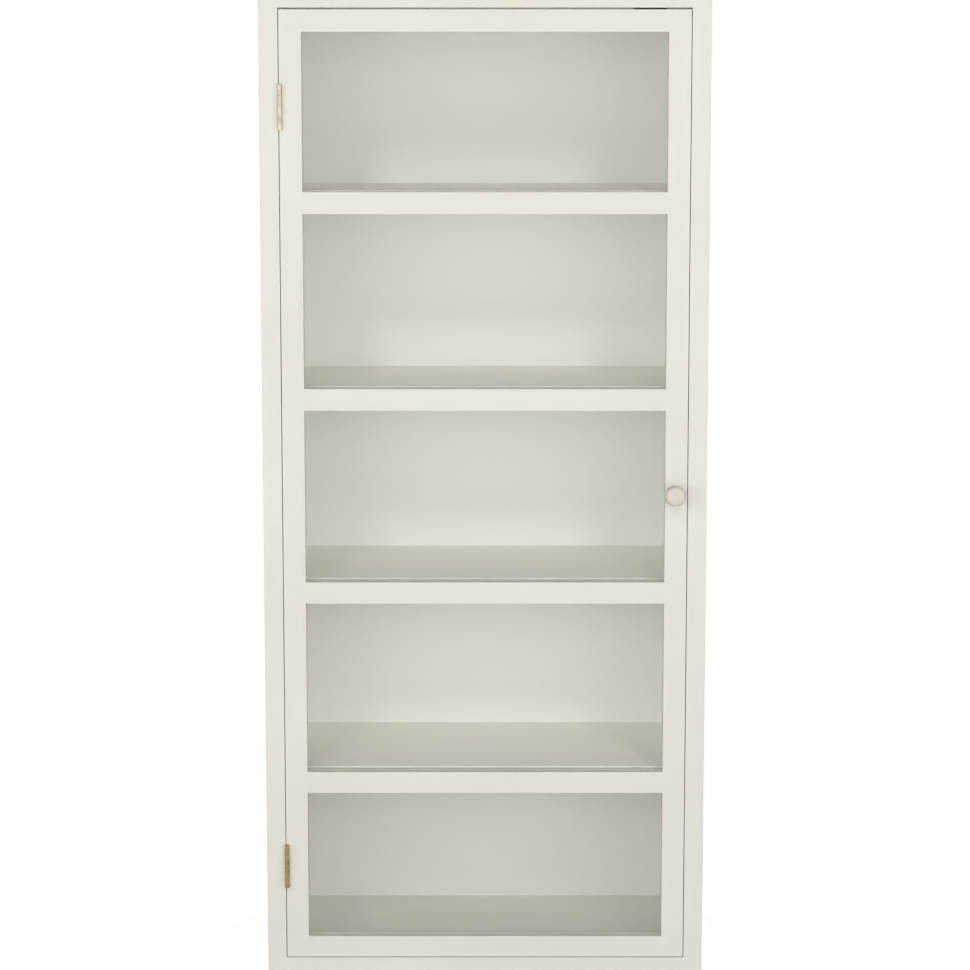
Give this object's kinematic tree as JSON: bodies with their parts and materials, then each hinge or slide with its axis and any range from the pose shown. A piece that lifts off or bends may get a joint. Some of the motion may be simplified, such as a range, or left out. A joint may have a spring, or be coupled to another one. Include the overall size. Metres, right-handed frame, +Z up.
{
  "type": "wall display cabinet",
  "caption": "Tall narrow wall-hung display cabinet of painted wood with fixed shelves and one inset glazed door with glazing bars, brass butt hinges, a round knob and a magnetic catch.",
  "frame": {"origin": "on the wall plane, halfway between the two keyholes, at the centre height of their entry holes", "axes": "+X to the right seen from the front, +Y into the wall so the front faces -Y, +Z up"},
  "size_m": [0.4, 0.226, 0.9],
  "materials": {
    "painted_wood": "satin off-white paint",
    "back_board": "satin off-white paint",
    "raw_wood": "planed, unfinished",
    "cream_wood": "smooth cream lacquer",
    "clear_glass": "clear, polished",
    "brass": "dull polished",
    "zinc_steel": "zinc plated",
    "painted_pins": "painted over",
    "black_plastic": "matt black",
    "ferrite": "dull dark grey"
  },
  "bodies": {
    "carcass": {"left_side_panel": "painted_wood", "right_side_panel": "painted_wood", "top_panel": "painted_wood", "bottom_panel": "painted_wood", "back_panel": "back_board", "shelf_1": "painted_wood", "shelf_2": "painted_wood", "shelf_3": "painted_wood", "shelf_4": "painted_wood", "corner_dowels": "raw_wood", "hanging_rail": "raw_wood", "rail_dowels": "raw_wood", "keyhole_plate_left": "zinc_steel", "keyhole_plate_right": "zinc_steel", "keyhole_screws": "zinc_steel", "top_hinge_frame_leaf": "brass", "bottom_hinge_frame_leaf": "brass", "top_hinge_pin": "brass", "bottom_hinge_pin": "brass", "hinge_frame_screws": "brass", "catch_case": "black_plastic", "catch_magnet": "ferrite", "catch_poles": "zinc_steel", "catch_screws": "zinc_steel"},
    "door": {"door_hinge_stile": "painted_wood", "door_lock_stile": "painted_wood", "door_top_rail": "painted_wood", "door_bottom_rail": "painted_wood", "door_bar_1": "painted_wood", "door_bar_2": "painted_wood", "door_bar_3": "painted_wood", "door_bar_4": "painted_wood", "glazing_beads_1": "painted_wood", "glazing_beads_2": "painted_wood", "glazing_beads_3": "painted_wood", "glazing_beads_4": "painted_wood", "glazing_beads_5": "painted_wood", "glass_pane_1": "clear_glass", "glass_pane_2": "clear_glass", "glass_pane_3": "clear_glass", "glass_pane_4": "clear_glass", "glass_pane_5": "clear_glass", "top_hinge_door_leaf": "brass", "bottom_hinge_door_leaf": "brass", "hinge_door_screws": "brass", "bead_pins": "painted_pins", "strike_plate": "zinc_steel", "strike_screws": "zinc_steel", "knob": "cream_wood", "knob_screw": "zinc_steel"}
  },
  "joints": [
    {"name": "door_swing", "type": "hinge", "parent": "carcass", "child": "door", "pos_m": [-0.1815, -0.2074, 0], "axis": [0, 0, -1], "range_deg": [0, 180]}
  ]
}
